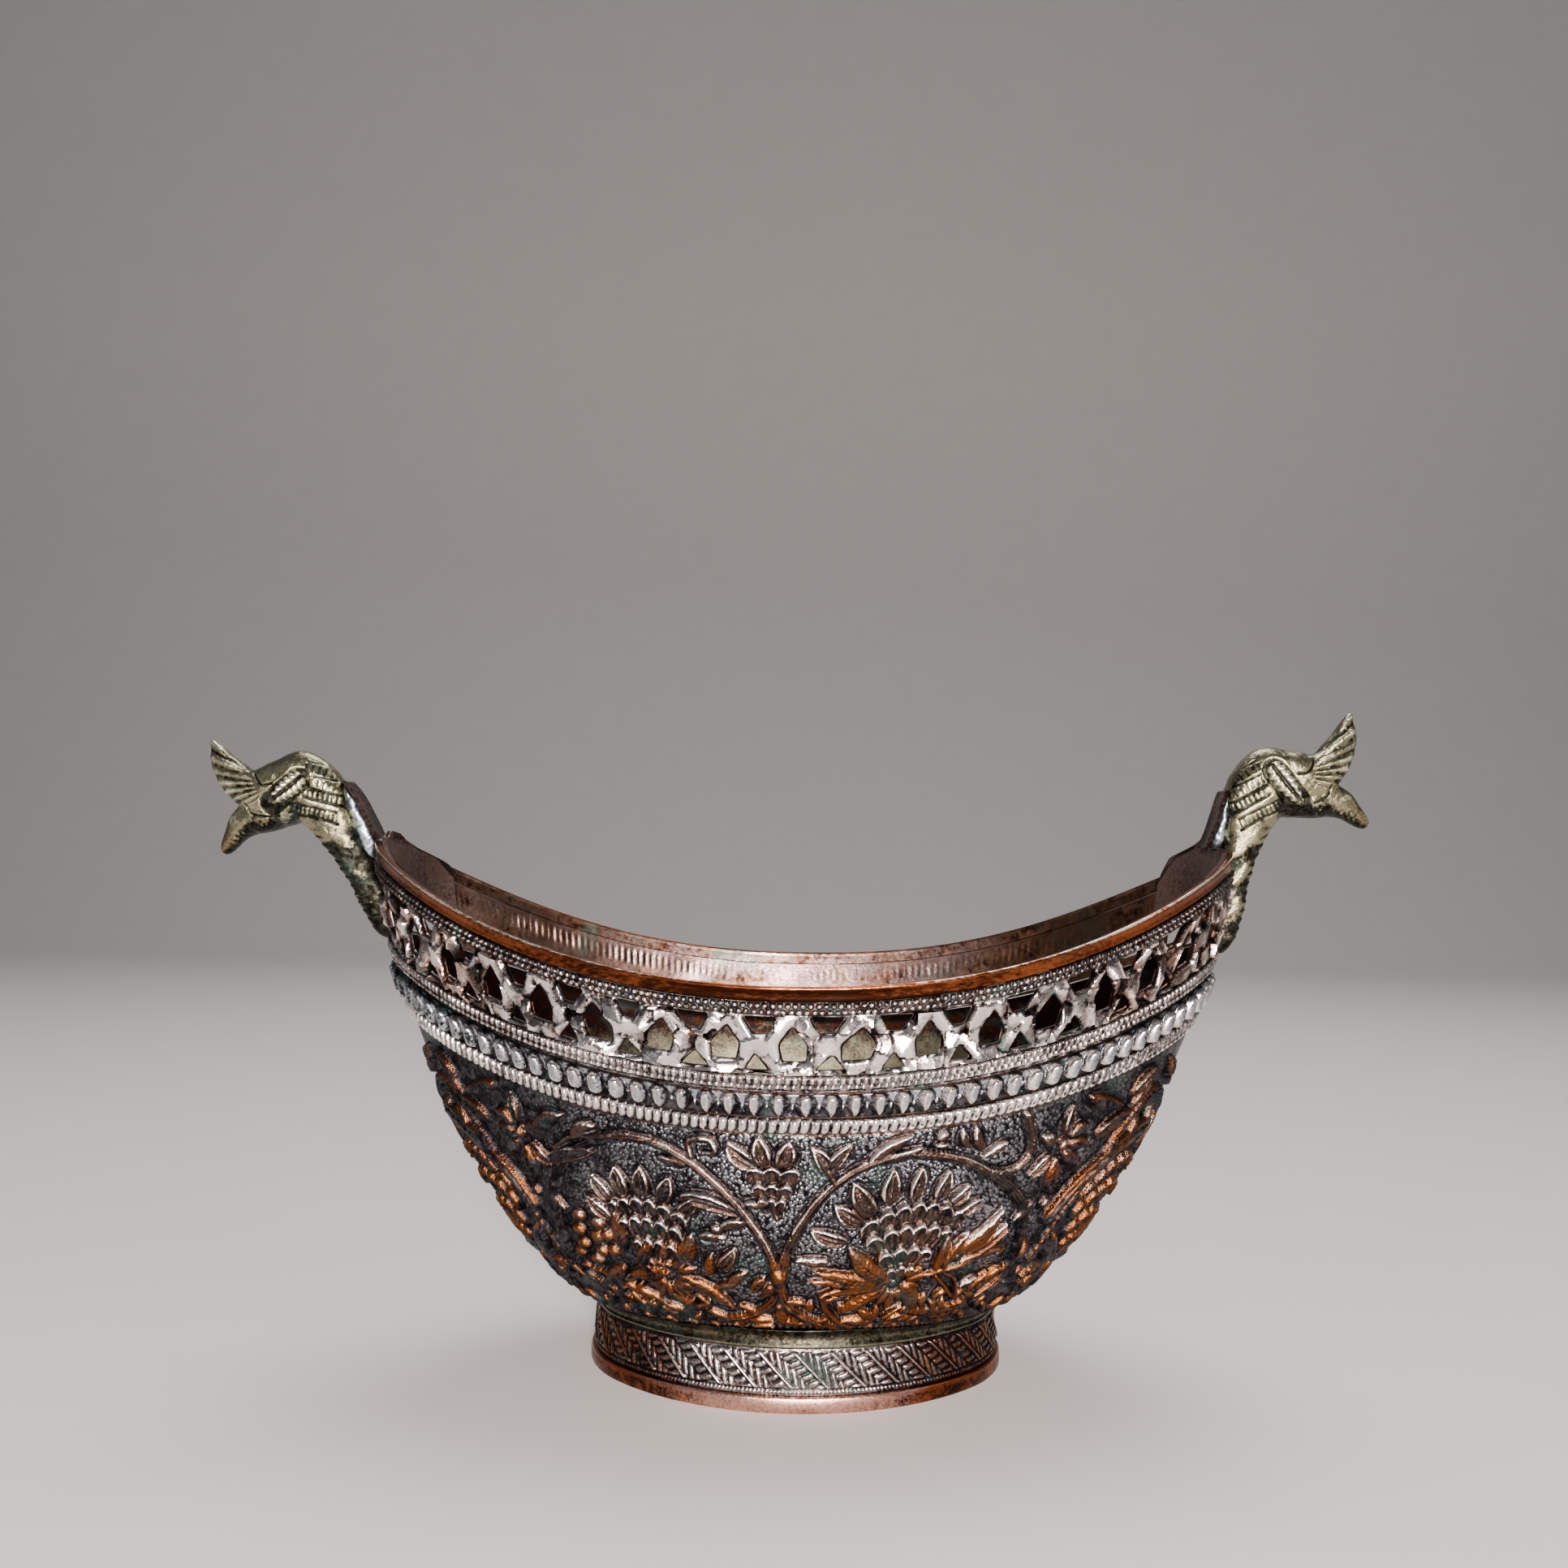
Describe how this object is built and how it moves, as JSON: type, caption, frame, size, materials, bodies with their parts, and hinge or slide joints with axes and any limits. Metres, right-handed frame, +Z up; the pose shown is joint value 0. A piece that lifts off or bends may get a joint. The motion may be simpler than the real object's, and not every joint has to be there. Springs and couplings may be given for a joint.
{
  "type": "kashkul begging bowl",
  "caption": "Boat-shaped begging bowl of chased tinned copper on an oval foot, with a pierced gallery below the rim and a cast brass dragon head at each end.",
  "frame": {"origin": "centre of the foot's base, on the surface the bowl stands on", "axes": "+X along the bowl's length toward the upright head, +Z up, -Y toward the front side"},
  "size_m": [0.2706, 0.1098, 0.1566],
  "materials": {
    "hull_copper": "chased copper with worn tinning and dark patina",
    "tinned_copper": "worn tinned copper",
    "bare_copper": "plain satin copper",
    "cast_brass": "aged cast brass",
    "solder": "dull soft solder"
  },
  "bodies": {
    "root": {"bowl_hull": "hull_copper", "gallery_front": "tinned_copper", "gallery_back": "tinned_copper", "rim_band_front": "bare_copper", "rim_band_back": "bare_copper", "bead_border_front": "tinned_copper", "bead_border_back": "tinned_copper", "ribbed_wire_front": "tinned_copper", "ribbed_wire_back": "tinned_copper", "boss_strip_front": "tinned_copper", "boss_strip_back": "tinned_copper", "rope_wire_front": "tinned_copper", "rope_wire_back": "tinned_copper", "stem_plate_left": "tinned_copper", "stem_plate_right": "tinned_copper", "solder_bed_left": "solder", "solder_bed_right": "solder", "dragon_head_left": "cast_brass", "dragon_head_right": "cast_brass", "foot_collar": "cast_brass", "foot_ring": "hull_copper", "foot_flange": "bare_copper"}
  },
  "joints": []
}
